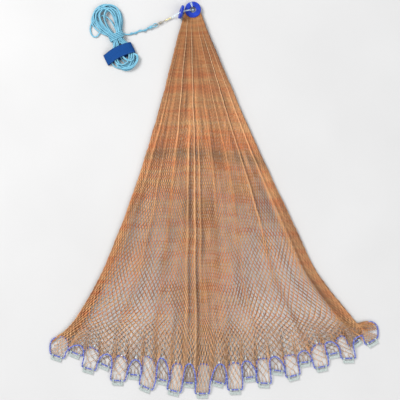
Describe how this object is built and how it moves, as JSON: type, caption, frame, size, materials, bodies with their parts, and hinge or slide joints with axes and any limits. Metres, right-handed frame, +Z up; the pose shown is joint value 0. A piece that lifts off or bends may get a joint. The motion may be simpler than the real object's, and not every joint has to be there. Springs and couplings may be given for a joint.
{
  "type": "cast net",
  "caption": "Hand cast net laid flat as a fan: knotted netting gathered to a ring, weighted scalloped hem, leader with swivel, coiled hand line and wrist strap.",
  "frame": {"origin": "on the ground under the middle of the net's own box, without the hand line", "axes": "+Y from the weighted hem to the throat ring, +X to the right seen from above, +Z up from the ground"},
  "size_m": [1.1846, 1.4261, 0.0493],
  "materials": {
    "netting": "knotted multifilament twine",
    "ring_plastic": "moulded, slightly glossy",
    "clear_line": "translucent monofilament",
    "lead_line": "laid polyester rope",
    "crimp_brass": "pressed",
    "swivel_metal": "worn",
    "rope": "braided",
    "strap_webbing": "woven",
    "sinker_iron": "zinc plated"
  },
  "bodies": {
    "net": {"netting_upper": "netting", "netting_lower": "netting", "netting_left_fold": "netting", "netting_right_fold": "netting", "netting_collar": "netting", "netting_tongues_upper": "netting", "netting_tongues_lower": "netting", "throat_ring": "ring_plastic", "ring_lashing": "clear_line", "lead_line_upper": "lead_line", "lead_line_lower": "lead_line", "brail_lines": "clear_line", "brail_knots": "clear_line", "brail_gather": "clear_line"},
    "leader": {"leader_lines": "clear_line", "crimp_sleeve": "crimp_brass", "swivel_leader_eye": "swivel_metal", "swivel_line_eye": "swivel_metal"},
    "leader_ring": {"leader_ring": "ring_plastic"},
    "swivel_barrel": {"swivel_barrel": "swivel_metal"},
    "hand_line": {"hand_line_loop": "rope", "hand_line_knot": "rope", "hand_line": "rope", "hand_line_hank": "rope", "wrist_strap": "strap_webbing"},
    "sinker_01": {"sinker_01": "sinker_iron"},
    "sinker_02": {"sinker_02": "sinker_iron"},
    "sinker_03": {"sinker_03": "sinker_iron"},
    "sinker_04": {"sinker_04": "sinker_iron"},
    "sinker_05": {"sinker_05": "sinker_iron"},
    "sinker_06": {"sinker_06": "sinker_iron"},
    "sinker_07": {"sinker_07": "sinker_iron"},
    "sinker_08": {"sinker_08": "sinker_iron"},
    "sinker_09": {"sinker_09": "sinker_iron"},
    "sinker_10": {"sinker_10": "sinker_iron"},
    "sinker_11": {"sinker_11": "sinker_iron"},
    "sinker_12": {"sinker_12": "sinker_iron"},
    "sinker_13": {"sinker_13": "sinker_iron"},
    "sinker_14": {"sinker_14": "sinker_iron"},
    "sinker_15": {"sinker_15": "sinker_iron"},
    "sinker_16": {"sinker_16": "sinker_iron"},
    "sinker_17": {"sinker_17": "sinker_iron"},
    "sinker_18": {"sinker_18": "sinker_iron"},
    "sinker_19": {"sinker_19": "sinker_iron"},
    "sinker_20": {"sinker_20": "sinker_iron"},
    "sinker_21": {"sinker_21": "sinker_iron"},
    "sinker_22": {"sinker_22": "sinker_iron"},
    "sinker_23": {"sinker_23": "sinker_iron"}
  },
  "joints": [
    {"name": "leader_swing", "type": "hinge", "parent": "net", "child": "leader", "pos_m": [-0.0745, 0.683, 0.002], "axis": [0, 0, 1], "range_deg": [-40, 6]},
    {"name": "leader_ring_slide", "type": "slide", "parent": "leader", "child": "leader_ring", "axis": [-0.9491, -0.315, 0], "range_m": [0, 0.006]},
    {"name": "swivel_spin", "type": "hinge", "parent": "leader", "child": "swivel_barrel", "pos_m": [-0.1917, 0.63669, 0.006], "axis": [-0.9063, -0.4226, 0], "continuous": true},
    {"name": "hand_line_swing", "type": "hinge", "parent": "leader", "child": "hand_line", "pos_m": [-0.20366, 0.63111, 0.006], "axis": [0, 0, 1], "range_deg": [-22, 12]},
    {"name": "sinker_01_swing", "type": "hinge", "parent": "net", "child": "sinker_01", "pos_m": [-0.563, -0.561, 0.0042], "axis": [-0.9455, 0.3256, 0], "range_deg": [0, 100]},
    {"name": "sinker_02_swing", "type": "hinge", "parent": "net", "child": "sinker_02", "pos_m": [-0.449, -0.606, 0.0042], "axis": [-0.9613, 0.2756, 0], "range_deg": [0, 100]},
    {"name": "sinker_03_swing", "type": "hinge", "parent": "net", "child": "sinker_03", "pos_m": [-0.345, -0.649, 0.0042], "axis": [-0.9976, 0.0698, 0], "range_deg": [0, 100]},
    {"name": "sinker_04_swing", "type": "hinge", "parent": "net", "child": "sinker_04", "pos_m": [-0.244, -0.673, 0.0042], "axis": [-0.9135, 0.4067, 0], "range_deg": [0, 100]},
    {"name": "sinker_05_swing", "type": "hinge", "parent": "net", "child": "sinker_05", "pos_m": [-0.143, -0.686, 0.0042], "axis": [-0.9703, 0.2419, 0], "range_deg": [0, 100]},
    {"name": "sinker_06_swing", "type": "hinge", "parent": "net", "child": "sinker_06", "pos_m": [-0.041, -0.6955, 0.0042], "axis": [-1, 0, 0], "range_deg": [0, 100]},
    {"name": "sinker_07_swing", "type": "hinge", "parent": "net", "child": "sinker_07", "pos_m": [0.077, -0.682, 0.0042], "axis": [-0.9994, -0.0349, 0], "range_deg": [0, 100]},
    {"name": "sinker_08_swing", "type": "hinge", "parent": "net", "child": "sinker_08", "pos_m": [0.181, -0.658, 0.0042], "axis": [-0.9986, 0.0523, 0], "range_deg": [0, 100]},
    {"name": "sinker_09_swing", "type": "hinge", "parent": "net", "child": "sinker_09", "pos_m": [0.286, -0.632, 0.0042], "axis": [-0.9703, -0.2419, 0], "range_deg": [0, 100]},
    {"name": "sinker_10_swing", "type": "hinge", "parent": "net", "child": "sinker_10", "pos_m": [0.388, -0.6, 0.0042], "axis": [-0.9781, -0.2079, 0], "range_deg": [0, 100]},
    {"name": "sinker_11_swing", "type": "hinge", "parent": "net", "child": "sinker_11", "pos_m": [0.485, -0.569, 0.0042], "axis": [-0.9994, -0.0349, 0], "range_deg": [0, 100]},
    {"name": "sinker_12_swing", "type": "hinge", "parent": "net", "child": "sinker_12", "pos_m": [0.568, -0.508, 0.0042], "axis": [-0.8572, -0.515, 0], "range_deg": [0, 100]},
    {"name": "sinker_13_swing", "type": "hinge", "parent": "net", "child": "sinker_13", "pos_m": [-0.498, -0.5505, 0.0042], "axis": [-0.9272, 0.3746, 0], "range_deg": [0, 100]},
    {"name": "sinker_14_swing", "type": "hinge", "parent": "net", "child": "sinker_14", "pos_m": [-0.392, -0.593, 0.0042], "axis": [-0.9135, 0.4067, 0], "range_deg": [0, 100]},
    {"name": "sinker_15_swing", "type": "hinge", "parent": "net", "child": "sinker_15", "pos_m": [-0.287, -0.628, 0.0042], "axis": [-0.9945, 0.1045, 0], "range_deg": [0, 100]},
    {"name": "sinker_16_swing", "type": "hinge", "parent": "net", "child": "sinker_16", "pos_m": [-0.1838, -0.647, 0.0042], "axis": [-0.9781, 0.2079, 0], "range_deg": [0, 100]},
    {"name": "sinker_17_swing", "type": "hinge", "parent": "net", "child": "sinker_17", "pos_m": [-0.088, -0.657, 0.0042], "axis": [-0.9976, 0.0698, 0], "range_deg": [0, 100]},
    {"name": "sinker_18_swing", "type": "hinge", "parent": "net", "child": "sinker_18", "pos_m": [0.017, -0.655, 0.0042], "axis": [-0.9613, 0.2756, 0], "range_deg": [0, 100]},
    {"name": "sinker_19_swing", "type": "hinge", "parent": "net", "child": "sinker_19", "pos_m": [0.129, -0.637, 0.0042], "axis": [-0.9903, -0.1392, 0], "range_deg": [0, 100]},
    {"name": "sinker_20_swing", "type": "hinge", "parent": "net", "child": "sinker_20", "pos_m": [0.2296, -0.613, 0.0042], "axis": [-0.9903, 0.1392, 0], "range_deg": [0, 100]},
    {"name": "sinker_21_swing", "type": "hinge", "parent": "net", "child": "sinker_21", "pos_m": [0.327, -0.583, 0.0042], "axis": [-0.9903, -0.1392, 0], "range_deg": [0, 100]},
    {"name": "sinker_22_swing", "type": "hinge", "parent": "net", "child": "sinker_22", "pos_m": [0.4315, -0.5515, 0.0042], "axis": [-0.9781, -0.2079, 0], "range_deg": [0, 100]},
    {"name": "sinker_23_swing", "type": "hinge", "parent": "net", "child": "sinker_23", "pos_m": [0.509, -0.511, 0.0042], "axis": [-0.8387, -0.5446, 0], "range_deg": [0, 8]}
  ]
}
